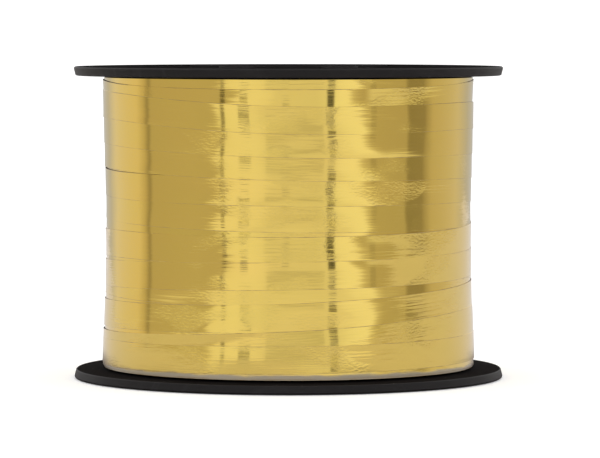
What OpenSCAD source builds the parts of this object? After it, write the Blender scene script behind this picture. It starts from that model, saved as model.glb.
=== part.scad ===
// A spool of narrow metallic curling ribbon.
// A black moulded spool of three parts, a barrel with a flange clipped on each end, holds one long strip of
// 5 mm film that is wound to and fro in layers. The end of the strip is taped down on the roll.
// Origin: centre of the lower flange's outer face. +Z runs up the spool's axis.

/* [Spool] */
// Diameter of both flanges
flange_d = 80; // [72:1:110]
// Height of the whole spool over both flanges
spool_h = 58; // [44:1:90]
// Thickness of a flange at its rim
rim_t = 1.7; // [1.4:0.1:2.6]
// Width of the full-thickness ring round a flange's edge
rim_w = 2.6; // [1.5:0.1:4]
// Rounding of the rim's edges
rim_round = 0.35; // [0.1:0.05:0.6]
// How much smaller the rim is on its ribbon side, so that the flange leaves its mould
rim_draft = 0.25; // [0:0.05:0.5]
// Depth of the recess in a flange's outer face
recess_depth = 0.5; // [0.2:0.1:0.7]

/* [Face ribs] */
// Number of stiffening ribs on a flange's outer face
face_ribs = 6; // [3:1:12]
// Width of a face rib
face_rib_w = 1.4; // [0.8:0.1:3]
// Width of the flat ring round the spindle hole
hub_ring_w = 5; // [2:0.5:8]

/* [Barrel] */
// Outer diameter of the barrel that the ribbon is wound on
barrel_d = 45; // [38:1:54]
// Wall of the barrel
barrel_wall = 1.6; // [1.4:0.1:2.4]
// Width of the slot that takes the ribbon's first end
slot_w = 2.4; // [1.6:0.1:4]
// Height of the barrel's slot beyond the ribbon's width
slot_spare = 1; // [0.6:0.1:3]
// Distance of the slot's lower end above the lower spigot
slot_rise = 2; // [1:0.5:6]

/* [Clipped joint] */
// Length of a flange's spigot inside the barrel
spigot_h = 8; // [6:0.5:12]
// Wall of the spigot
spigot_wall = 1.4; // [1:0.1:2]
// Clearance all round between the spigot and the barrel
spigot_clearance = 0.1; // [0.05:0.05:0.2]
// Height of the bead round the spigot
bead_h = 1; // [0.6:0.1:1.6]
// How far the bead stands out of the spigot
bead_proud = 0.35; // [0.25:0.05:0.6]
// Distance of the bead's middle from the flange
bead_at = 5.5; // [4:0.5:7]
// Number of slits that let the spigot spring
slits = 6; // [3:1:9]
// Width of a slit
slit_w = 1.2; // [0.8:0.1:2]
// Height of the unslit foot of the spigot
slit_foot = 2.5; // [1.5:0.5:4]

/* [Spindle hole] */
// Diameter of the hole that a spindle goes through
bore_d = 16; // [12:0.5:20]
// Width of the thickened collar round the hole
collar_w = 2.2; // [1.2:0.1:3]
// Height of the collar inside the barrel
collar_h = 1.5; // [1:0.1:3]
// Width of the ribs that run out from the collar
web_rib_t = 1.2; // [0.8:0.1:2]
// How much lower than the collar those ribs are
web_rib_drop = 0.4; // [0.2:0.1:0.6]

/* [Ribbon] */
// Width of the ribbon
ribbon_w = 5; // [4:0.5:7]
// Thickness of one layer of turns, film and trapped air together
layer_t = 0.2; // [0.1:0.05:0.4]
// Diameter of the roll beside the flanges
roll_d = 70; // [60:0.1:70.4]
// How much slimmer the roll is at mid-height
waist = 1.3; // [0:0.1:3]
// Gap between the inner turns and each flange
pack_gap = 0.3; // [0.1:0.1:0.6]
// Gap between the outermost turns and each flange
turn_gap = 0.7; // [0.5:0.1:2]
// Share of the roll's height that the last layer covers, from the bottom
last_share = 0.48; // [0.3:0.02:0.7]

/* [Ribbon ends] */
// Length of the first end inside the barrel
start_l = 14; // [8:1:20]
// Length of the last stretch, which lies on the turns below it
tail_l = 46; // [30:1:70]
// Length of the tape that holds the last end
tape_l = 19; // [12:1:24]
// Width of the tape
tape_w = 12; // [8:1:15]
// Thickness of the tape
tape_t = 0.1; // [0.1:0.05:0.2]
// How much of the tape lies on the ribbon's end
tape_on_tail = 10; // [6:1:12]

/* [Hidden] */
$fn = 96;
past = 1; // how far a cutting shape runs past the face that it cuts
root = 0.4; // how deep the spigot, collar and ribs are rooted in the disc

flange_r = flange_d / 2;
bore_r = bore_d / 2;
hub_ring_r = bore_r + hub_ring_w;
recess_r = flange_r - rim_w;
inside_h = spool_h - 2 * rim_t; // clear height between the flanges

barrel_r = barrel_d / 2;
barrel_ir = barrel_r - barrel_wall;
spigot_r = barrel_ir - spigot_clearance;
spigot_ir = spigot_r - spigot_wall;
bead_r = spigot_r + bead_proud;
groove_r = bead_r + spigot_clearance;
groove_h = bead_h + 2 * spigot_clearance;
slot_z = rim_t + spigot_h + slot_rise;
slot_h = ribbon_w + slot_spare;

steps = 12; // straight steps up the roll's hollow side
edge_steps = 4; // straight steps round an edge
roll_r = roll_d / 2;
pack_z0 = rim_t + pack_gap;
pack_z1 = spool_h - rim_t - pack_gap;
turn_z0 = rim_t + turn_gap;
turn_z1 = spool_h - rim_t - turn_gap;
last_z1 = turn_z0 + last_share * (turn_z1 - turn_z0);
tail_z = turn_z0 + layer_t; // the last turn stands a little above the turn that it covers

black = "#1d1b1d";
gold = "#d2b04c";
light_gold = "#e0c46a";
clear = [0.93, 0.93, 0.9, 0.5];

// Angle in degrees of an arc of length l at radius r.
function arc_angle(l, r) = l / r * 180 / PI;

// Radius of the roll's outside at height z. It is a shallow hollow, widest beside the flanges.
function roll_at(z) = roll_r - waist / 2 * (1 - pow((z - spool_h / 2) / (inside_h / 2), 2));

// Points up the roll's side from z0 to z1, drawn in by inset.
function side(z0, z1, inset) =
    [for (i = [0 : steps]) let (z = z0 + (z1 - z0) * i / steps) [roll_at(z) - inset, z]];

// Points of a quarter round about (x, y), from angle a0 to a0 + 90.
function corner(x, y, r, a0) =
    [for (i = [0 : edge_steps]) let (a = a0 + 90 * i / edge_steps) [x + r * cos(a), y + r * sin(a)]];

// A film of thickness t round the roll between the heights z0 and z1, its inside lift proud of the roll's own side.
module wrap(z0, z1, lift, t, angle = 360) {
    outside = side(z0, z1, -lift - t);
    inside = side(z0, z1, -lift);
    rotate_extrude(angle = angle)
        polygon(concat(outside, [for (i = [steps : -1 : 0]) inside[i]]));
}

// Half section of the flange's disc, its outer face down on z = 0, with a rounded and drafted rim.
module disc_section() {
    outer_edge = corner(flange_r - rim_round, rim_round, rim_round, -90);
    inner_edge = corner(flange_r - rim_draft - rim_round, rim_t - rim_round, rim_round, 0);
    polygon(concat([[0, 0]], outer_edge, inner_edge, [[0, rim_t]]));
}

// Half section of the spigot ring with its bead.
module spigot_section() {
    foot = rim_t - root;
    bead_z = rim_t + bead_at;
    top = rim_t + spigot_h;
    polygon([
        [spigot_ir, foot], [spigot_r, foot], [spigot_r, bead_z - bead_h / 2], [bead_r, bead_z],
        [spigot_r, bead_z + bead_h / 2], [spigot_r, top], [spigot_ir, top]
    ]);
}

// Pockets of the outer face's recess, which leave the face ribs standing between them.
module recess_pockets() {
    difference() {
        translate([0, 0, -past])
            cylinder(r = recess_r, h = recess_depth + past);
        translate([0, 0, -2 * past])
            cylinder(r = hub_ring_r, h = recess_depth + 3 * past);
        for (i = [0 : face_ribs - 1])
            rotate([0, 0, i * 360 / face_ribs])
                translate([0, -face_rib_w / 2, -2 * past])
                    cube([flange_r, face_rib_w, recess_depth + 3 * past]);
    }
}

// A flange with its outer face down on z = 0 and its spigot, collar and hub ribs standing up.
module flange() {
    rib_l = spigot_ir + spigot_wall / 2 - bore_r;
    color(black)
        difference() {
            union() {
                rotate_extrude()
                    disc_section();
                rotate_extrude()
                    spigot_section();
                translate([0, 0, rim_t - root])
                    cylinder(r = bore_r + collar_w, h = root + collar_h);
                for (i = [0 : slits - 1])
                    rotate([0, 0, i * 360 / slits])
                        translate([bore_r, -web_rib_t / 2, rim_t - root])
                            cube([rib_l, web_rib_t, root + collar_h - web_rib_drop]);
            }
            translate([0, 0, -past])
                cylinder(r = bore_r, h = rim_t + collar_h + 2 * past);
            for (i = [0 : slits - 1])
                rotate([0, 0, (i + 0.5) * 360 / slits])
                    translate([spigot_ir - past, -slit_w / 2, rim_t + slit_foot])
                        cube([bead_r - spigot_ir + 2 * past, slit_w, spigot_h]);
            recess_pockets();
        }
}

module lower_flange() {
    flange();
}

module upper_flange() {
    translate([0, 0, spool_h])
        rotate([180, 0, 0])
            flange();
}

module core_barrel() {
    color(black)
        difference() {
            translate([0, 0, rim_t])
                cylinder(r = barrel_r, h = inside_h);
            translate([0, 0, rim_t - past])
                cylinder(r = barrel_ir, h = inside_h + 2 * past);
            for (z = [rim_t + bead_at, spool_h - rim_t - bead_at])
                translate([0, 0, z - groove_h / 2])
                    cylinder(r = groove_r, h = groove_h);
            translate([barrel_ir - past, -slot_w / 2, slot_z])
                cube([barrel_wall + 2 * past, slot_w, slot_h]);
        }
}

// The strip's first end: through the slot, then along the inside of the barrel.
module ribbon_start() {
    z0 = slot_z + slot_spare / 2;
    r1 = barrel_ir - layer_t; // it lies loosely, one thickness off the wall
    r0 = r1 - layer_t;
    color(gold) {
        translate([r0, 0, z0])
            cube([barrel_r - r0, layer_t, ribbon_w]);
        rotate_extrude(angle = arc_angle(start_l, r0))
            translate([r0, z0])
                square([layer_t, ribbon_w]);
    }
}

module ribbon_pack() {
    color(gold)
        rotate_extrude()
            polygon(concat([[barrel_r, pack_z0]], side(pack_z0, pack_z1, 2 * layer_t), [[barrel_r, pack_z1]]));
}

module ribbon_outer_layer() {
    color(light_gold)
        wrap(turn_z0, turn_z1, -2 * layer_t, layer_t);
}

module ribbon_last_layer() {
    color(gold)
        wrap(turn_z0, last_z1, -layer_t, layer_t);
}

// The last stretch lies on the last layer behind the spool.
module ribbon_tail() {
    color(light_gold)
        rotate([0, 0, 90])
            wrap(tail_z, tail_z + ribbon_w, 0, layer_t, arc_angle(tail_l, roll_r));
}

// The tape lies half on the ribbon's end and half beyond it.
module end_tape() {
    beyond = arc_angle(tape_l - tape_on_tail, roll_r);
    color(clear)
        rotate([0, 0, 90 - beyond])
            wrap(tail_z, tail_z + tape_w, layer_t, tape_t, arc_angle(tape_l, roll_r));
}

lower_flange();
upper_flange();
core_barrel();
ribbon_start();
ribbon_pack();
ribbon_outer_layer();
ribbon_last_layer();
ribbon_tail();
end_tape();
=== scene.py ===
import math

import bpy
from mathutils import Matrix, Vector, noise


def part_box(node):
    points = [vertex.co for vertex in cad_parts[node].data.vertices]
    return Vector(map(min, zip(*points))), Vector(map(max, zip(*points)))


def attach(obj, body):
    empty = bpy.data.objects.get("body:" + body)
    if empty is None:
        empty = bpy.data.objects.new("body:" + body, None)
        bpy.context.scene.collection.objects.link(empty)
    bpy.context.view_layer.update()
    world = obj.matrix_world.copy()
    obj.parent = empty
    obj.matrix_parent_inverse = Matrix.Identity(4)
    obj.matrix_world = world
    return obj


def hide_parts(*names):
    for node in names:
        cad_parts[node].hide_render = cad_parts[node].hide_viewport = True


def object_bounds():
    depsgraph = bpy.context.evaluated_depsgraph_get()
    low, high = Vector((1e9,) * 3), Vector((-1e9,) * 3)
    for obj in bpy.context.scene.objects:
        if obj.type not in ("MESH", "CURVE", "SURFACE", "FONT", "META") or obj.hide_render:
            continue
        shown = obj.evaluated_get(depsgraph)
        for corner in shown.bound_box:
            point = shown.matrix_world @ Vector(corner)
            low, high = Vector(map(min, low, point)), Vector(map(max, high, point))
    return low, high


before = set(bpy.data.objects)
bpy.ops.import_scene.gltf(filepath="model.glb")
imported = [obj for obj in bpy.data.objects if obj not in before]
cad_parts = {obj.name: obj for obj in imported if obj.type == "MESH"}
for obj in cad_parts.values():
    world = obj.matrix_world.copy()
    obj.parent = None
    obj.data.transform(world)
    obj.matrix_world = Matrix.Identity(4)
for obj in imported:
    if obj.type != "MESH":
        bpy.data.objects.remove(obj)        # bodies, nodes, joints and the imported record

cad_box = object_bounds()
mm = 0.001

# ---------------------------------------------------------------------------------------------------------
# Camera. A long lens at the height of the spool's top, tipped down a little, so that both flanges show
# nearly edge-on and their rims curve only slightly.
camera_distance = 780 * mm
camera_above_top = 8.7 * mm
tip_down = math.radians(2.87)
turn_right = math.radians(0.158)
camera_data = bpy.data.cameras.new("camera")
camera_data.lens = 250.7
camera_data.sensor_width = 36
camera_data.clip_start = 0.05
camera_data.clip_end = 20
camera = bpy.data.objects.new("camera", camera_data)
camera.location = (0, -camera_distance, cad_box[1].z + camera_above_top)
camera.rotation_euler = (math.pi / 2 - tip_down, 0, -turn_right)
bpy.context.scene.collection.objects.link(camera)
bpy.context.scene.camera = camera

# ---------------------------------------------------------------------------------------------------------
# Studio floor. A white sweep, a floor that turns up into a wall all round. What the film mirrors below it
# is a grey card, which ends not far from the spool, and beyond the card the lower part of the tent.
bpy.context.scene.view_settings.view_transform = "Standard"
floor_drop = 0.1 * mm
floor_radius = 2.4
sweep_radius = 0.6
wall_height = 1.2
sweep_steps, sweep_sides = 12, 96
card_left, card_right = -210 * mm, 450 * mm
card_front, card_back = -150 * mm, 600 * mm
burnt_out_glow = 0.12
table_radius = 36 * mm
table_edge = 2.5 * mm
table_glow = 0.9
# the card's painted shadow of the spool: where it starts to fade, where it is gone, and its darkest colour
painted_shadow_inner, painted_shadow_outer = 44 * mm, 95 * mm
card_painted_shadow = (0.16, 0.14, 0.14, 1)


def smooth_step(tree, value, low, high):
    """0 at low and 1 at high, with soft ends; low may be the greater of the two."""
    node = tree.nodes.new("ShaderNodeMapRange")
    node.interpolation_type = "SMOOTHSTEP"
    tree.links.new(value, node.inputs["Value"])
    node.inputs["From Min"].default_value = min(low, high)
    node.inputs["From Max"].default_value = max(low, high)
    if low > high:
        node.inputs["To Min"].default_value = 1.0
        node.inputs["To Max"].default_value = 0.0
    return node.outputs["Result"]


def mix_node(tree, factor, first, second):
    """A colour Mix node on sockets, numbers or colours, and its output."""
    node = tree.nodes.new("ShaderNodeMix")
    node.data_type = "RGBA"
    for socket, value in zip((node.inputs[0], node.inputs[6], node.inputs[7]), (factor, first, second)):
        if isinstance(value, bpy.types.NodeSocket):
            tree.links.new(value, socket)
        else:
            socket.default_value = value
    return node.outputs[2]


sweep_outline = [(0.0, 0.0), (floor_radius, 0.0)]
for i in range(1, sweep_steps + 1):
    turn = math.radians(90 * i / sweep_steps)
    sweep_outline.append((floor_radius + sweep_radius * math.sin(turn), sweep_radius * (1 - math.cos(turn))))
sweep_outline.append((floor_radius + sweep_radius, sweep_radius + wall_height))
sweep_points, sweep_faces = [(0, 0, -floor_drop)], []
for radius, height in sweep_outline[1:]:
    for i in range(sweep_sides):
        turn = 2 * math.pi * i / sweep_sides
        sweep_points.append((radius * math.cos(turn), radius * math.sin(turn), height - floor_drop))
for i in range(sweep_sides):
    after = (i + 1) % sweep_sides
    sweep_faces.append((0, 1 + i, 1 + after))
    for ring in range(len(sweep_outline) - 2):
        low, high = 1 + ring * sweep_sides, 1 + (ring + 1) * sweep_sides
        sweep_faces.append((low + i, high + i, high + after, low + after))
sweep_mesh = bpy.data.meshes.new("sweep")
sweep_mesh.from_pydata(sweep_points, [], sweep_faces)
sweep_mesh.shade_smooth()
card_mesh = bpy.data.meshes.new("card")
card_height = -floor_drop / 2
card_mesh.from_pydata(
    [(card_left, card_front, card_height), (card_right, card_front, card_height),
     (card_right, card_back, card_height), (card_left, card_back, card_height)],
    [], [(0, 1, 2, 3)])

for name, mesh, colour, glow in (("sweep", sweep_mesh, (0.9, 0.9, 0.9, 1), 0.12),
                                 ("card", card_mesh, (0.66, 0.63, 0.63, 1), 0.02)):
    paint = bpy.data.materials.new(name + "_paint")
    paint.use_nodes = True
    tree = paint.node_tree
    matt = tree.nodes["Principled BSDF"]
    matt.inputs["Base Color"].default_value = colour
    matt.inputs["Roughness"].default_value = 1.0
    matt.inputs["Specular IOR Level"].default_value = 0.0
    matt.inputs["Emission Color"].default_value = (1, 1, 1, 1)
    # it is burnt out to white for the camera, but keeps a faint shadow
    seen_directly = tree.nodes.new("ShaderNodeLightPath")
    burnt_out = tree.nodes.new("ShaderNodeMapRange")
    tree.links.new(seen_directly.outputs["Is Camera Ray"], burnt_out.inputs["Value"])
    burnt_out.inputs["To Min"].default_value = glow
    burnt_out.inputs["To Max"].default_value = glow + burnt_out_glow
    # under the spool the stage is a light table, which lights the lower flange's outer face
    stage_place = tree.nodes.new("ShaderNodeTexCoord")
    from_spool = tree.nodes.new("ShaderNodeVectorMath")
    from_spool.operation = "LENGTH"
    tree.links.new(stage_place.outputs["Object"], from_spool.inputs[0])
    light_table = tree.nodes.new("ShaderNodeMapRange")
    light_table.inputs["From Min"].default_value = table_radius
    light_table.inputs["From Max"].default_value = table_radius + table_edge
    light_table.inputs["To Min"].default_value = table_glow
    tree.links.new(from_spool.outputs["Value"], light_table.inputs["Value"])
    tree.links.new(burnt_out.outputs["Result"], light_table.inputs["To Max"])
    tree.links.new(light_table.outputs["Result"], matt.inputs["Emission Strength"])
    # seen from below the floor is clear, so that the spool's underside can be looked at
    from_below = tree.nodes.new("ShaderNodeNewGeometry")
    clear = tree.nodes.new("ShaderNodeBsdfTransparent")
    one_sided = tree.nodes.new("ShaderNodeMixShader")
    tree.links.new(from_below.outputs["Backfacing"], one_sided.inputs[0])
    tree.links.new(matt.outputs[0], one_sided.inputs[1])
    tree.links.new(clear.outputs[0], one_sided.inputs[2])
    tree.links.new(one_sided.outputs[0], tree.nodes["Material Output"].inputs["Surface"])
    mesh.materials.append(paint)
    if name == "card":
        # close to the spool the card is painted darker, a painted shadow of the spool
        out_of_painted_shadow = smooth_step(tree, from_spool.outputs["Value"], painted_shadow_inner, painted_shadow_outer)
        tree.links.new(mix_node(tree, out_of_painted_shadow, card_painted_shadow, colour), matt.inputs["Base Color"])
    stage_piece = bpy.data.objects.new(name, mesh)
    bpy.context.scene.collection.objects.link(stage_piece)
    stage_piece.visible_camera = name == "sweep"
    stage_piece.visible_glossy = name == "card"
    stage_piece.visible_diffuse = name == "sweep"


# ---------------------------------------------------------------------------------------------------------
# Studio light. A bright tent with white panels and darker gaps between them. The metallised film shows them
# as upright bands, because it is wound in the form of a cylinder. Overhead the tent is one soft light.
def math_node(tree, operation, *values):
    """A Math node on sockets or numbers, and its output."""
    node = tree.nodes.new("ShaderNodeMath")
    node.operation = operation
    for socket, value in zip(node.inputs, values):
        if isinstance(value, bpy.types.NodeSocket):
            tree.links.new(value, socket)
        else:
            socket.default_value = value
    return node.outputs[0]


def ramp_node(tree, place, rows):
    """A Color Ramp over bearings from -180 to 180 degrees. A row is a bearing and a colour."""
    node = tree.nodes.new("ShaderNodeValToRGB")
    tree.links.new(place, node.inputs[0])
    elements = node.color_ramp.elements
    elements.remove(elements[-1])
    for index, (angle, colour) in enumerate(rows):
        element = elements[0] if index == 0 else elements.new((angle + 180) / 360)
        element.position = (angle + 180) / 360
        element.color = (*colour, 1)
    return node.outputs[0]


def tinted(rows):
    """Rows of bearing, brightness and warmth as rows of bearing and colour."""
    return [(angle, (level, level * (1 - 0.11 * warmth), level * (1 - 0.3 * warmth)))
            for angle, level, warmth in rows]


# A bearing is 0 towards the front and positive towards the right, in degrees, and a rise is above the level.
# The rows are a bearing, the brightness there and how warm the light is.
level_bands = tinted([
    (-180, 0.56, 0.2), (-150, 0.56, 0.2), (-136, 0.82, 0.6), (-108, 0.82, 0.9), (-101, 0.62, 1.1),
    (-96.8, 0.35, 0.9), (-94.5, 0.57, 0.9), (-60, 0.60, 0.8), (-44, 0.58, 0.8), (-42, 0.98, 0.3),
    (-28, 1.02, 0.2), (-17, 0.97, 0.2), (-12, 0.88, 0.2), (18, 0.86, 0.2), (29, 0.92, 0.1),
    (33, 1.03, 0.0), (45, 1.09, 0.0), (49, 0.68, 0.6), (54, 0.56, 0.8), (78, 0.53, 0.8),
    (79.2, 0.32, 0.9), (93, 0.34, 0.9), (94.5, 0.43, 0.9), (101, 0.62, 0.8), (130, 0.71, 0.6),
    (148, 0.54, 0.2), (180, 0.56, 0.2)])
low_bands = tinted([
    (-180, 0.62, 0.2), (-165, 0.92, 0.1), (-150, 0.92, 0.1), (-140, 0.60, 0.6), (-118, 0.58, 0.8),
    (-108, 0.88, 0.5), (-95, 0.84, 0.6), (-80, 0.62, 0.8), (-52, 0.64, 0.8), (-42, 0.98, 0.1),
    (-18, 0.97, 0.1), (-8, 0.84, 0.3), (18, 0.84, 0.3), (33, 1.06, 0.0), (46, 1.04, 0.0), (58, 0.64, 0.7),
    (80, 0.58, 0.8), (92, 0.86, 0.5), (108, 0.90, 0.3), (120, 0.60, 0.8), (140, 0.58, 0.6),
    (150, 0.92, 0.1), (165, 0.92, 0.1), (180, 0.62, 0.2)])
# how many degrees a band's edge moves sideways for each degree of rise, as a share of lean_most
lean_most = 4.0
lean_rows = [(angle, (0.5 + lean / 2 / lean_most,) * 3) for angle, lean in (
    (-180, 0.0), (-110, 0.2), (-90, 0.4), (-60, 3.0), (-30, 2.5), (0, 0.5), (20, -0.5), (40, -2.5),
    (60, -2.5), (72, -0.2), (100, 0.0), (180, 0.0))]
lean_pivot = -3.5
lean_reach = 6
# dark things between the panels: left and right bearing, bottom and top rise, and how much they darken
dark_patches = [
    (-42.5, -39.5, -9.0, -5.2, 0.72), (-42.5, -40, -3.6, -1.4, 0.72), (-30, -25, -7.6, -6.0, 0.75),
    (-31, -24, -2.2, -1.2, 0.75), (24.5, 29, -8.0, -4.2, 0.88), (25, 30, -2.2, -0.4, 0.8),
    (-14, 22, -3.4, -2.2, 0.3), (-4, 0, -6.2, -5.4, 0.55), (52, 56, -6.0, -3.0, 0.2)]
soft_across, soft_upright = 0.6, 0.4
pale_panel = (0.84, 0.82, 0.79, 1)
tent_side, tent_roof = (0.93, 0.91, 0.9, 1), (1.15, 1.15, 1.15, 1)

world = bpy.data.worlds.new("tent")
world.use_nodes = True
bpy.context.scene.world = world
tent = world.node_tree
tent.nodes.clear()
direction = tent.nodes.new("ShaderNodeTexCoord")
compass = tent.nodes.new("ShaderNodeSeparateXYZ")
tent.links.new(direction.outputs["Generated"], compass.inputs[0])
east, north, up = compass.outputs
to_front = math_node(tent, "MULTIPLY", north, -1)
bearing = math_node(tent, "MULTIPLY", math_node(tent, "ARCTAN2", east, to_front), 180 / math.pi)
rise = math_node(tent, "MULTIPLY", math_node(tent, "ARCSINE", up), 180 / math.pi)
place = math_node(tent, "MULTIPLY_ADD", bearing, 1 / 360, 0.5)
lean = math_node(tent, "MULTIPLY_ADD", ramp_node(tent, place, lean_rows), 2 * lean_most, -lean_most)
near_rise = tent.nodes.new("ShaderNodeClamp")
tent.links.new(math_node(tent, "SUBTRACT", rise, lean_pivot), near_rise.inputs[0])
near_rise.inputs["Min"].default_value = -lean_reach
near_rise.inputs["Max"].default_value = lean_reach
leaning = math_node(tent, "MULTIPLY_ADD", lean, near_rise.outputs[0], bearing)
leaning_place = math_node(tent, "MULTIPLY_ADD", leaning, 1 / 360, 0.5)
colour = ramp_node(tent, leaning_place, level_bands)
shade = 1.0
for left, right, bottom, top, depth in dark_patches:
    across = math_node(tent, "MULTIPLY",
                       smooth_step(tent, bearing, left - soft_across, left + soft_across),
                       smooth_step(tent, bearing, right + soft_across, right - soft_across))
    upright = math_node(tent, "MULTIPLY",
                        smooth_step(tent, rise, bottom - soft_upright, bottom + soft_upright),
                        smooth_step(tent, rise, top + soft_upright, top - soft_upright))
    kept = math_node(tent, "MULTIPLY_ADD", math_node(tent, "MULTIPLY", across, upright), -depth, 1.0)
    shade = math_node(tent, "MULTIPLY", shade, kept)
shaded = tent.nodes.new("ShaderNodeVectorMath")
shaded.operation = "SCALE"
tent.links.new(colour, shaded.inputs[0])
tent.links.new(shade, shaded.inputs["Scale"])
# low down on the right there is a pale panel instead of the dark ones
on_right = smooth_step(tent, bearing, 47, 54)
low_right = math_node(tent, "MULTIPLY", smooth_step(tent, rise, -4.8, -6.0), on_right)
colour = mix_node(tent, low_right, shaded.outputs[0], pale_panel)
# under these bands are the low ones, and over them the tent's plain side and its bright roof
colour = mix_node(tent, smooth_step(tent, rise, -8.5, -12.0), colour, ramp_node(tent, place, low_bands))
colour = mix_node(tent, smooth_step(tent, rise, -0.4, 2.6), colour, tent_side)
colour = mix_node(tent, smooth_step(tent, rise, 20.0, 40.0), colour, tent_roof)
tent_light = tent.nodes.new("ShaderNodeBackground")
tent.links.new(colour, tent_light.inputs["Color"])
tent_out = tent.nodes.new("ShaderNodeOutputWorld")
tent.links.new(tent_light.outputs[0], tent_out.inputs[0])

# ---------------------------------------------------------------------------------------------------------
# Flanges and barrel. They are injection moulded in black polystyrene from a finely blasted mould. Each
# flange clips into the barrel with a ring of sprung fingers. Handling leaves rubs, and dust settles on top.
fresh_black, dull_black = (0.0055, 0.0045, 0.0048, 1), (0.0105, 0.009, 0.0092, 1)
rub_grey, dust_grey = (0.022, 0.021, 0.022, 1), (0.07, 0.066, 0.062, 1)
blast_depth = 0.004 * mm


def noise_node(tree, place, scale, detail):
    """A Noise texture at a place, and its output."""
    node = tree.nodes.new("ShaderNodeTexNoise")
    node.inputs["Scale"].default_value = scale
    node.inputs["Detail"].default_value = detail
    tree.links.new(place, node.inputs["Vector"])
    return node.outputs["Fac"]


dust = bpy.data.node_groups.new("dust", "ShaderNodeTree")
dust.interface.new_socket("Amount", in_out="INPUT", socket_type="NodeSocketFloat")
dust.interface.new_socket("Mask", in_out="OUTPUT", socket_type="NodeSocketFloat")
dust_in = dust.nodes.new("NodeGroupInput")
dust_out = dust.nodes.new("NodeGroupOutput")
dust_place = dust.nodes.new("ShaderNodeTexCoord")
specks = dust.nodes.new("ShaderNodeTexVoronoi")
specks.inputs["Scale"].default_value = 700
dust.links.new(dust_place.outputs["Object"], specks.inputs["Vector"])
speck_size = dust.nodes.new("ShaderNodeTexWhiteNoise")
dust.links.new(specks.outputs["Position"], speck_size.inputs["Vector"])
is_speck = math_node(dust, "GREATER_THAN", speck_size.outputs["Value"], 0.86)
few = math_node(dust, "MULTIPLY", is_speck, dust_in.outputs["Amount"])
speck = math_node(dust, "MULTIPLY", smooth_step(dust, specks.outputs["Distance"], 0.16, 0.05), few)
dust.links.new(speck, dust_out.inputs["Mask"])

spool_black = bpy.data.materials.new("spool_black")
spool_black.use_nodes = True
tree = spool_black.node_tree
black = tree.nodes["Principled BSDF"]
black_place = tree.nodes.new("ShaderNodeTexCoord")
mottle = noise_node(tree, black_place.outputs["Object"], 90, 4)
grain = noise_node(tree, black_place.outputs["Object"], 5200, 2)
rub_place = tree.nodes.new("ShaderNodeMapping")
rub_place.inputs["Scale"].default_value = (60, 900, 60)
rub_place.inputs["Rotation"].default_value = (0, 0, 0.5)
tree.links.new(black_place.outputs["Object"], rub_place.inputs["Vector"])
rubbed = smooth_step(tree, noise_node(tree, rub_place.outputs[0], 1.0, 3), 0.58, 0.72)
settled = tree.nodes.new("ShaderNodeGroup")
settled.node_tree = dust
facing = tree.nodes.new("ShaderNodeNewGeometry")
facing_parts = tree.nodes.new("ShaderNodeSeparateXYZ")
tree.links.new(facing.outputs["Normal"], facing_parts.inputs[0])
tree.links.new(smooth_step(tree, facing_parts.outputs["Z"], 0.3, 0.9), settled.inputs["Amount"])
plain_black = mix_node(tree, mottle, fresh_black, dull_black)
rubbed_black = mix_node(tree, math_node(tree, "MULTIPLY", rubbed, 0.35), plain_black, rub_grey)
dusty_black = mix_node(tree, settled.outputs["Mask"], rubbed_black, dust_grey)
tree.links.new(dusty_black, black.inputs["Base Color"])
# the flat faces come from a more coarsely blasted part of the mould than the rim
flatness = smooth_step(tree, math_node(tree, "ABSOLUTE", facing_parts.outputs["Z"]), 0.8, 0.98)
tree.links.new(math_node(tree, "MULTIPLY_ADD", flatness, -0.18, 0.2), black.inputs["Specular IOR Level"])
matt_share = math_node(tree, "MULTIPLY_ADD", flatness, 0.5, 0.44)
tree.links.new(math_node(tree, "MULTIPLY_ADD", mottle, 0.14, matt_share), black.inputs["Roughness"])
relief = math_node(tree, "MULTIPLY_ADD", rubbed, -0.3, grain)
blasted = tree.nodes.new("ShaderNodeBump")
blasted.inputs["Distance"].default_value = blast_depth
tree.links.new(relief, blasted.inputs["Height"])
tree.links.new(blasted.outputs[0], black.inputs["Normal"])
for name in ("lower_flange", "upper_flange", "core_barrel"):
    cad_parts[name].data.materials.clear()
    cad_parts[name].data.materials.append(spool_black)

# ---------------------------------------------------------------------------------------------------------
# The film of the ribbon. It is polypropylene, metallised and lacquered gold, a mirror with fine lines along
# it from drawing and patches of crinkles from winding. Its slit edges are painted dull brown in patches, a
# painted shade of the seams.
film_width = 5 * mm
film_thickness = 0.09 * mm
yellow_gold, red_gold = (0.79, 0.605, 0.13, 1), (0.83, 0.59, 0.14, 1)
# a greyer metal for the painted reflection of the pale floor at the lowest turn's bottom edge
painted_reflection_grey = (0.46, 0.40, 0.29, 1)
# dull brown for the painted shade of the seams between the turns, at the film's slit edges
seam_shade_brown = (0.33, 0.21, 0.075, 1)
edge_wander = 0.2 * mm
seam_shade_start, seam_shade_full = 0.02 * mm, 0.07 * mm
# the band of painted reflection at the lowest turn's bottom edge: its bottom, how far its top wanders, where
# it is full and where it fades out
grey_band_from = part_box("ribbon_outer_layer")[0].z
grey_band_wander = 1.3 * mm
grey_band_full, grey_band_end = grey_band_from + 0.9 * mm, grey_band_from + 1.5 * mm
crease_depth = 0.012 * mm

gold_film = bpy.data.materials.new("gold_film")
gold_film.use_nodes = True
tree = gold_film.node_tree
gold = tree.nodes["Principled BSDF"]
gold.inputs["Coat Weight"].default_value = 0.6
gold.inputs["Coat Roughness"].default_value = 0.05
gold.inputs["Coat IOR"].default_value = 1.5
strip_place = tree.nodes.new("ShaderNodeUVMap")
strip_place.uv_map = "strip"
strip_parts = tree.nodes.new("ShaderNodeSeparateXYZ")
tree.links.new(strip_place.outputs[0], strip_parts.inputs[0])


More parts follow.
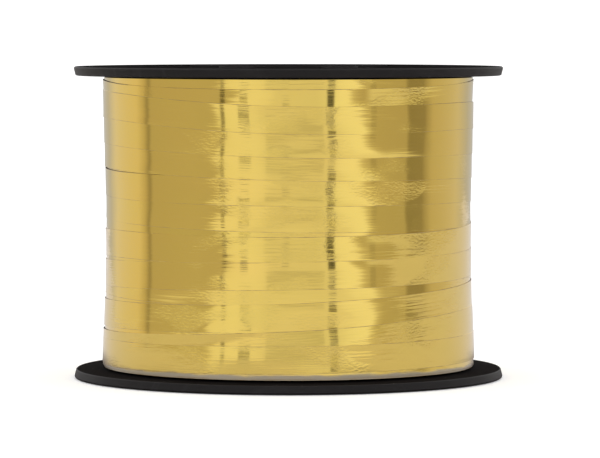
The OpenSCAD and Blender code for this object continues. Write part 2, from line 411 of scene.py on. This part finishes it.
def film_noise(along_scale, across_scale, detail):
    """Noise that is stretched along the film. The scales are in features per metre."""
    stretch = tree.nodes.new("ShaderNodeMapping")
    stretch.inputs["Scale"].default_value = (along_scale, across_scale, 1)
    tree.links.new(strip_place.outputs[0], stretch.inputs[0])
    return noise_node(tree, stretch.outputs[0], 1.0, detail)


drawn_lines = film_noise(90, 2200, 2)
drawn_places = smooth_step(tree, film_noise(40, 200, 1), 0.42, 0.62)
drawn_share = math_node(tree, "MULTIPLY_ADD", drawn_places, 0.65, 0.35)
fine_lines = film_noise(60, 7000, 1)
crinkles = film_noise(1300, 2600, 3)
patches = smooth_step(tree, film_noise(75, 150, 1), 0.52, 0.64)
lacquer = film_noise(45, 120, 2)
ragged = math_node(tree, "MULTIPLY", film_noise(500, 500, 2), edge_wander)
off_middle = math_node(tree, "SUBTRACT", strip_parts.outputs["Y"], film_width / 2)
from_middle = math_node(tree, "ADD", math_node(tree, "ABSOLUTE", off_middle), ragged)
# a thin ragged band at each slit edge, in patches, is painted dull brown, less metallic and rougher: painted
# shade of the seams between the turns
slit_edge = smooth_step(tree, from_middle, film_width / 2 + seam_shade_start, film_width / 2 + seam_shade_full)
painted_seam_shade = math_node(tree, "MULTIPLY", slit_edge, smooth_step(tree, film_noise(60, 60, 2), 0.36, 0.56))
# the lowest turn's bottom edge is painted a duller, greyer metal and is rougher: a painted reflection of the
# pale floor
film_place = tree.nodes.new("ShaderNodeTexCoord")
film_parts = tree.nodes.new("ShaderNodeSeparateXYZ")
tree.links.new(film_place.outputs["Object"], film_parts.inputs[0])
grey_band_height = math_node(tree, "MULTIPLY_ADD", film_noise(160, 500, 3), grey_band_wander, film_parts.outputs["Z"])
painted_reflection_edge = smooth_step(tree, grey_band_height, grey_band_end, grey_band_full)
lacquered = mix_node(tree, lacquer, yellow_gold, red_gold)
gold_and_grey_band = mix_node(tree, painted_reflection_edge, lacquered, painted_reflection_grey)
tree.links.new(mix_node(tree, painted_seam_shade, gold_and_grey_band, seam_shade_brown), gold.inputs["Base Color"])
tree.links.new(math_node(tree, "MULTIPLY_ADD", painted_seam_shade, -0.5, 1.0), gold.inputs["Metallic"])
smoothness = math_node(tree, "MULTIPLY_ADD", patches, 0.03, 0.07)
painted_edge_marks = math_node(tree, "MAXIMUM", painted_seam_shade, painted_reflection_edge)
tree.links.new(math_node(tree, "MULTIPLY_ADD", painted_edge_marks, 0.3, smoothness), gold.inputs["Roughness"])
drawn = math_node(tree, "MULTIPLY", drawn_lines, drawn_share)
relief = math_node(tree, "MULTIPLY_ADD", fine_lines, 0.05, drawn)
patched = math_node(tree, "MULTIPLY", patches, crinkles)
relief = math_node(tree, "MULTIPLY_ADD", patched, 1.8, relief)
creased = tree.nodes.new("ShaderNodeBump")
creased.inputs["Distance"].default_value = crease_depth
tree.links.new(relief, creased.inputs["Height"])
tree.links.new(creased.outputs[0], gold.inputs["Normal"])

# ---------------------------------------------------------------------------------------------------------
# Outer turns of the ribbon. The strip is wound to and fro, and the turns overlap like shingles. The layer
# under the last one climbed the roll and shows its lower edges. The last one came down and shows its upper.
roll_edge_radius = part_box("ribbon_last_layer")[1].x
roll_waist_depth = 0.65 * mm
inside_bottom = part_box("core_barrel")[0].z
inside_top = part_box("core_barrel")[1].z
roll_middle = (inside_bottom + inside_top) / 2
roll_half = (inside_top - inside_bottom) / 2
most_loose = 0.45
most_cup = 0.03 * mm
curl_from = 0.62
most_bumpy, bump_size = 0.05 * mm, 7 * mm


def eased(low, high, value):
    """0 below low and 1 above high, with soft ends."""
    t = min(1.0, max(0.0, (value - low) / (high - low)))
    return t * t * (3 - 2 * t)


def roll_radius(z):
    """The finished roll's radius at a height, slimmest at mid-height."""
    from_mid = (z - roll_middle) / roll_half
    return roll_edge_radius - roll_waist_depth * (1 - from_mid ** 2)


def along(knots, angle):
    """The value at an angle between (angle, value) knots, eased from knot to knot."""
    for i in range(len(knots) - 1):
        if angle <= knots[i + 1][0]:
            break
    before, a, b, after = knots[max(i - 1, 0)], knots[i], knots[i + 1], knots[min(i + 2, len(knots) - 1)]
    span = b[0] - a[0]
    t = (angle - a[0]) / span
    slope_a = (b[1] - before[1]) / (b[0] - before[0]) * span
    slope_b = (after[1] - a[1]) / (after[0] - a[0]) * span
    return ((2 * t ** 3 - 3 * t ** 2 + 1) * a[1] + (t ** 3 - 2 * t ** 2 + t) * slope_a
            + (-2 * t ** 3 + 3 * t ** 2) * b[1] + (t ** 3 - t ** 2) * slope_b)


def film_strip(name, rows, width):
    """A closed strip from rows of outer and inner points. Its UV map holds the length along it and the
    distance across it, in metres. The inner side has fewer points, because it lies on other film."""
    columns = len(rows[0][0]) - 1
    inner_columns = len(rows[0][1]) - 1
    per_row = columns + 1 + inner_columns + 1
    points = [point for outer, inner in rows for point in outer + inner]
    length, travelled = 0.0, [0.0]
    for (outer_a, _), (outer_b, _) in zip(rows, rows[1:]):
        length += (Vector(outer_b[columns // 2]) - Vector(outer_a[columns // 2])).length
        travelled.append(length)
    faces, places = [], []
    for i in range(len(rows) - 1):
        a, b = i * per_row, (i + 1) * per_row
        ua, ub = travelled[i], travelled[i + 1]
        for j in range(columns):
            va, vb = width * j / columns, width * (j + 1) / columns
            faces.append((a + j, b + j, b + j + 1, a + j + 1))
            places += [(ua, va), (ub, va), (ub, vb), (ua, vb)]
        a, b = a + columns + 1, b + columns + 1
        for j in range(inner_columns):
            va, vb = width * j / inner_columns, width * (j + 1) / inner_columns
            faces.append((a + j + 1, b + j + 1, b + j, a + j))
            places += [(ua, vb), (ub, vb), (ub, va), (ua, va)]
        outer_a, outer_b = i * per_row, (i + 1) * per_row
        faces.append((a, b, outer_b, outer_a))
        places += [(ua, 0), (ub, 0), (ub, 0), (ua, 0)]
        faces.append((outer_a + columns, outer_b + columns, b + inner_columns, a + inner_columns))
        places += [(ua, width), (ub, width), (ub, width), (ua, width)]
    for start, u in ((0, 0.0), ((len(rows) - 1) * per_row, length)):
        outer = [start + j for j in range(columns + 1)]
        inner = [start + columns + 1 + j for j in range(inner_columns + 1)]
        ring = outer + inner[::-1]
        faces.append(ring if start == 0 else ring[::-1])
        places += [(u, 0)] * len(ring)
    mesh = bpy.data.meshes.new(name)
    mesh.from_pydata(points, [], faces)
    uv_layer = mesh.uv_layers.new(name="strip")
    for loop, place in zip(uv_layer.data, places):
        loop.uv = place
    mesh.shade_smooth()
    mesh.set_sharp_from_angle(angle=math.radians(50))
    strip = bpy.data.objects.new(name, mesh)
    bpy.context.scene.collection.objects.link(strip)
    return strip


def round_roll(radius, angle, z):
    """A point at an angle from the front, positive to the right."""
    return (radius * math.sin(math.radians(angle)), -radius * math.cos(math.radians(angle)), z)


def wound_rows(knots, start, end, lift, free_edge, stand_off, seed, most_curl=0.08 * mm, slant=0.0):
    """Rows of a strip wound round the roll from start to end, in degrees.

    knots give its lower edge's height in mm. lift(z, angle) is where its outer face is at the covered edge,
    outside the roll's own side. free_edge, "lower" or "upper", is the edge that no turn covers. stand_off is
    how much further out it is, and most_curl how far it may curl away. slant is by how many degrees the
    strip's start is cut askew."""
    columns, inner_columns = 10, 2
    rows = []
    for i in range(round(end - start) + 1):
        angle = start + i
        a = math.radians(angle)
        low_edge = along(knots, angle) * mm
        loose = 1 + most_loose * noise.noise(Vector((a * 0.9, seed * 3.7, 0.5)))
        curl = max(0.0, noise.noise(Vector((a * 1.1 + 4.2, seed * 9.1, 2.5)))) * most_curl
        cup = noise.noise(Vector((a * 1.3, seed * 5.3, 7.5))) * most_cup

        def points(count, depth):
            made = []
            for j in range(count + 1):
                v = j / count
                z = low_edge + v * film_width
                free = (1 - v) if free_edge == "lower" else v
                out = roll_radius(z) + lift(z, angle) + stand_off * loose * free - depth
                out += curl * max(0.0, free - curl_from) ** 2 / (1 - curl_from) ** 2 + cup * 4 * v * (1 - v)
                out += noise.noise(Vector((math.sin(a) * 4, math.cos(a) * 4, z / bump_size))) * most_bumpy
                made.append(round_roll(out, angle + slant * v * (1 - eased(0, 10, i)), z))
            return made

        rows.append((points(columns, 0), points(inner_columns, film_thickness)))
    return rows


def show_as(piece, material, slot, *nodes):
    """The piece has that material and stands for those CAD nodes. slot is not used."""
    piece.data.materials.append(material)
    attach(piece, "root")
    if nodes:
        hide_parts(*nodes)


def climbing_lift(z, angle):
    """The climbing layer lies deeper where the last layer covers it, and starts from under the top turn."""
    return (-0.38 + 0.16 * eased(29 * mm, 42 * mm, z) - 0.33 * (1 - eased(105, 155, angle))) * mm


def top_turn_lift(z, angle):
    """The top turn goes once round and in under its own beginning."""
    return (-0.36 - 0.11 * eased(-20, 150, angle)) * mm


def last_lift(z, angle):
    """The last layer stands out a little low down, and comes out from under the climbing layer at its top."""
    return (-0.14 - 0.13 * eased(9 * mm, 16 * mm, z) - 0.215 * eased(1190, 1270, angle)) * mm


# heights of the climbing layer's lower edge at the left and right of the front, from the top turn down
climbing_knots = [
    (100, 49.0), (280, 48.6), (360, 46.2), (440, 46.5), (640, 43.8), (720, 42.0), (800, 41.8),
    (1000, 39.4), (1080, 37.9), (1160, 37.4), (1360, 34.1), (1440, 33.3), (1520, 33.0), (1720, 29.8),
    (1800, 28.6), (1880, 28.4), (2080, 25.3), (2240, 23.6), (2440, 20.6), (2600, 18.9), (2800, 15.9),
    (2960, 14.2), (3160, 11.2), (3320, 9.5), (3520, 6.5), (3680, 4.6), (3880, 2.5), (4040, 2.45),
    (4240, 2.45)]
climbing_rows = wound_rows(climbing_knots, 100, 4240, climbing_lift, "lower", 0.08 * mm, 1)
climbing_turns = film_strip("ribbon_climbing_turns", climbing_rows, film_width)
show_as(climbing_turns, gold_film, "ribbon_film", "ribbon_outer_layer")

# the top turn of the layer below, which dips away from the flange at the front
top_turn_knots = [
    (-235, 48.2), (-205, 49.6), (-165, 51.0), (-90, 50.6), (-48, 49.6), (0, 49.2), (48, 49.6), (90, 50.6),
    (120, 50.9), (155, 49.6), (185, 48.2)]
top_turn_rows = wound_rows(top_turn_knots, -230, 180, top_turn_lift, "upper", 0.04 * mm, 3)
show_as(film_strip("ribbon_top_turn", top_turn_rows, film_width), gold_film, "ribbon_film")

# heights of the last layer's lower edge, from where it runs on into the free end up to its top turn
last_knots = [
    (-464, 2.6), (-440, 2.75), (-280, 3.7), (-80, 4.3), (0, 5.9), (80, 8.6), (280, 10.0), (360, 10.9),
    (440, 13.2), (640, 17.4), (800, 19.2), (1000, 23.0), (1080, 22.8), (1160, 23.8), (1220, 26.0),
    (1290, 29.0), (1320, 29.4)]
last_rows = wound_rows(last_knots, -464, 1315, last_lift, "upper", 0.08 * mm, 2)
show_as(film_strip("ribbon_last_turns", last_rows, film_width), gold_film, "ribbon_film", "ribbon_last_layer")

# ---------------------------------------------------------------------------------------------------------
# Inner turns of the ribbon. About 110 layers of the same strip fill the spool under the outer turns. Their
# film edges show as fine uneven rings at both ends, with a gap to each flange.
pack_low, pack_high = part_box("ribbon_pack")
barrel_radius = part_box("core_barrel")[1].x
pack_depth = 0.58 * mm
turn_pitch = 4.64 * mm
most_uneven = 0.45 * mm
most_at_rim = 0.85
end_wave = 0.9 * mm
shingle_step = 0.02 * mm
end_rings = 30
pack_sides = 180
dark_edge, bright_edge = (0.13, 0.085, 0.02, 1), (0.78, 0.60, 0.22, 1)
edge_ring = 0.2 * mm
ring_depth = 0.06 * mm

film_edges = bpy.data.materials.new("film_edges")
film_edges.use_nodes = True
tree = film_edges.node_tree
edges = tree.nodes["Principled BSDF"]
edges_place = tree.nodes.new("ShaderNodeTexCoord")
edges_parts = tree.nodes.new("ShaderNodeSeparateXYZ")
tree.links.new(edges_place.outputs["Object"], edges_parts.inputs[0])
squares = [math_node(tree, "POWER", edges_parts.outputs[axis], 2.0) for axis in ("X", "Y")]
edge_radius = math_node(tree, "SQRT", math_node(tree, "ADD", *squares))
ring_noise = tree.nodes.new("ShaderNodeTexNoise")
ring_noise.noise_dimensions = "1D"
ring_noise.inputs["Scale"].default_value = 1 / edge_ring
ring_noise.inputs["Detail"].default_value = 3
tree.links.new(edge_radius, ring_noise.inputs["W"])
ring_colour = mix_node(tree, ring_noise.outputs["Fac"], dark_edge, bright_edge)
tree.links.new(ring_colour, edges.inputs["Base Color"])
ring_roughness = math_node(tree, "MULTIPLY_ADD", ring_noise.outputs["Fac"], -0.3, 0.6)
tree.links.new(ring_roughness, edges.inputs["Roughness"])
tree.links.new(smooth_step(tree, ring_noise.outputs["Fac"], 0.4, 0.6), edges.inputs["Metallic"])
ringed = tree.nodes.new("ShaderNodeBump")
ringed.inputs["Distance"].default_value = ring_depth
tree.links.new(ring_noise.outputs["Fac"], ringed.inputs["Height"])
tree.links.new(ringed.outputs[0], edges.inputs["Normal"])

# the outline runs up the barrel's side, out over the top end, down the shingled side and in at the bottom;
# each point is a radius, a height, how uneven it is and its distance across its turn
turns_high = round((pack_high.z - pack_low.z) / turn_pitch)
turn_pitch = (pack_high.z - pack_low.z) / turns_high
outline = [(barrel_radius, pack_low.z, 1, None), (barrel_radius, pack_high.z, -1, None)]
outer_radius = roll_radius(pack_high.z) - pack_depth
outline += [(barrel_radius + (outer_radius - barrel_radius) * i / end_rings, pack_high.z,
             most_at_rim * (i / end_rings) ** 4 - 1, None) for i in range(1, end_rings)]
for turn in range(turns_high):
    for part in range(5):
        z = pack_high.z - (turn + min(part / 4, 0.97)) * turn_pitch
        outline.append((roll_radius(z) - pack_depth + shingle_step * part, z, 0, turn_pitch * (1 - part / 4)))
outline[end_rings + 1] = (outer_radius, pack_high.z, most_at_rim - 1, turn_pitch)
outer_radius = roll_radius(pack_low.z) - pack_depth
outline.append((outer_radius, pack_low.z, 1, 0.0))
outline += [(outer_radius + (barrel_radius - outer_radius) * i / end_rings, pack_low.z, 1, None)
            for i in range(1, end_rings)]
points, faces, places, is_side = [], [], [], []
for radius, z, uneven, _ in outline:
    for i in range(pack_sides):
        angle = 360 * i / pack_sides
        end_seed = 5.5 if uneven > 0 else 0.5
        wave = noise.noise(Vector((radius / end_wave, math.sin(math.radians(angle)) * 2, end_seed)))
        points.append(round_roll(radius, angle, z + uneven * most_uneven * (0.5 + 0.5 * wave)))
for ring in range(len(outline)):
    after = (ring + 1) % len(outline)
    va, vb = outline[ring][3], outline[after][3]
    side = va is not None and vb is not None
    for i in range(pack_sides):
        beside = (i + 1) % pack_sides
        faces.append((ring * pack_sides + i, after * pack_sides + i,
                      after * pack_sides + beside, ring * pack_sides + beside))
        ua, ub = (2 * math.pi * outer_radius * k / pack_sides for k in (i, i + 1))
        places += [(ua, va or 0), (ua, vb or 0), (ub, vb or 0), (ub, va or 0)]
        is_side.append(side)
inner_mesh = bpy.data.meshes.new("ribbon_inner_turns")
inner_mesh.from_pydata(points, [], faces)
uv_layer = inner_mesh.uv_layers.new(name="strip")
for loop, place in zip(uv_layer.data, places):
    loop.uv = place
inner_mesh.shade_smooth()
inner_mesh.set_sharp_from_angle(angle=math.radians(40))
inner_turns = bpy.data.objects.new("ribbon_inner_turns", inner_mesh)
bpy.context.scene.collection.objects.link(inner_turns)
show_as(inner_turns, film_edges, "ribbon_film", "ribbon_pack")
inner_mesh.materials.append(gold_film)
for face, side in zip(inner_mesh.polygons, is_side):
    face.material_index = 1 if side else 0

# ---------------------------------------------------------------------------------------------------------
# The ribbon's two ends. The free end runs on from the last turn, is cut a little askew and lies on the turn
# below it, behind. The first end goes in through the barrel's slot and lies along the inside of the barrel.
free_end_turn, free_end_rest = -540, -464


def free_end_lift(z, angle):
    """The free end comes up from the last layer's level onto the turn that it lies on."""
    return (-0.14 + 0.28 * (1 - eased(free_end_rest - 16, free_end_rest, angle))) * mm


free_end_knots = [(free_end_turn - 20, 2.7), (free_end_turn, 2.65), (free_end_rest, 2.6), (-440, 2.75)]
free_end_rows = wound_rows(
    free_end_knots, free_end_turn, free_end_rest, free_end_lift, "upper", 0.02 * mm, 4,
    most_curl=0, slant=3.0)
show_as(film_strip("ribbon_free_end", free_end_rows, film_width), gold_film, "ribbon_film", "ribbon_tail")

start_low, start_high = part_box("ribbon_start")
barrel_wall = 1.6 * mm
inner_wall = barrel_radius - barrel_wall
bend = 0.5 * mm
bend_steps, lying_steps = 8, 35
through_step = 0.25 * mm
lies_at = inner_wall - 0.15 * mm
springs_in = 0.35 * mm
start_path = [Vector((start_high.x - 0.05 * mm - i * through_step, 0)) for i in range(6)]
for i in range(bend_steps + 1):
    turn = math.radians(90 * i / bend_steps)
    start_path.append(Vector((lies_at + bend * (1 - math.sin(turn)), bend * (1 - math.cos(turn)))))
last_turn = math.asin(start_high.y / (inner_wall - 0.3 * mm))
first_turn = math.atan2(bend, lies_at) + 0.02
for i in range(lying_steps + 1):
    share = i / lying_steps
    turn = first_turn + (last_turn - first_turn) * share
    radius = lies_at - springs_in * share ** 2
    start_path.append(Vector((radius * math.cos(turn), radius * math.sin(turn))))
start_rows = []
for i, point in enumerate(start_path):
    heading = (start_path[min(i + 1, len(start_path) - 1)] - start_path[max(i - 1, 0)]).normalized()
    across = Vector((heading.y, -heading.x)) * film_thickness / 2
    heights = [start_low.z + film_width * j / 4 for j in range(5)]
    start_rows.append(([(*(point + across), z) for z in heights],
                       [(*(point - across), z) for z in (heights[0], heights[2], heights[4])]))
show_as(film_strip("ribbon_first_end", start_rows, film_width), gold_film, "ribbon_film", "ribbon_start")

# ---------------------------------------------------------------------------------------------------------
# End tape. A short piece of clear polypropylene tape, half on the ribbon's free end and half beyond it. It
# is torn off and stuck down by hand, so its ends are uneven and it has a few bubbles and cloudy spots.
tape_low, tape_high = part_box("end_tape")
tape_width = tape_high.z - tape_low.z
tape_start, tape_end = 165.0, 196.5
tape_steps = 42
tape_columns = 16
tape_thickness = 0.05 * mm
tape_lift = 0.19 * mm
over_free_end = 0.07 * mm
most_bubble, bubble_size = 0.05 * mm, 3 * mm
clear_colour, frosted_colour = (0.80, 0.76, 0.62, 1), (0.92, 0.91, 0.86, 1)
free_end_at = free_end_turn % 360
tail_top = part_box("ribbon_tail")[1].z

tape_rows = []
for i in range(tape_steps + 1):
    share = i / tape_steps
    outer, inner = [], []
    for j in range(tape_columns + 1):
        v = j / tape_columns
        z = tape_low.z + v * tape_width
        torn = noise.noise(Vector((v * 9.0, share * 2.0, 1.5))) * 0.5 * (1 if share < 0.5 else -1)
        angle = tape_start + (tape_end - tape_start) * share + torn * abs(2 * share - 1) ** 8
        on_end = eased(free_end_at - 1.5, free_end_at + 1.5, angle)
        on_end *= 1 - eased(tail_top, tail_top + 0.8 * mm, z)
        bubble = max(0.0, noise.noise(Vector((angle / 5, z / bubble_size, 8.5))) - 0.15) * most_bubble
        radius = roll_radius(z) + tape_lift + over_free_end * on_end + bubble
        outer.append(round_roll(radius + tape_thickness, angle, z))
        if j % 2 == 0:
            inner.append(round_roll(radius, angle, z))
    tape_rows.append((outer, inner))

tape_clear = bpy.data.materials.new("tape_clear")
tape_clear.use_nodes = True
tree = tape_clear.node_tree
tape_shader = tree.nodes["Principled BSDF"]
tape_shader.inputs["Coat Weight"].default_value = 0.6
tape_place = tree.nodes.new("ShaderNodeTexCoord")
frosted = smooth_step(tree, noise_node(tree, tape_place.outputs["Object"], 260, 3), 0.54, 0.74)
tape_dust = tree.nodes.new("ShaderNodeGroup")
tape_dust.node_tree = dust
tape_dust.inputs["Amount"].default_value = 0.5
cloudy = math_node(tree, "MULTIPLY_ADD", frosted, 0.12, 0.12)
tree.links.new(math_node(tree, "MAXIMUM", cloudy, tape_dust.outputs["Mask"]), tape_shader.inputs["Alpha"])
tape_colour = mix_node(tree, frosted, clear_colour, frosted_colour)
tree.links.new(tape_colour, tape_shader.inputs["Base Color"])
tree.links.new(math_node(tree, "MULTIPLY_ADD", frosted, 0.25, 0.12), tape_shader.inputs["Roughness"])
show_as(film_strip("tape_on_free_end", tape_rows, tape_width), tape_clear, "clear_tape", "end_tape")
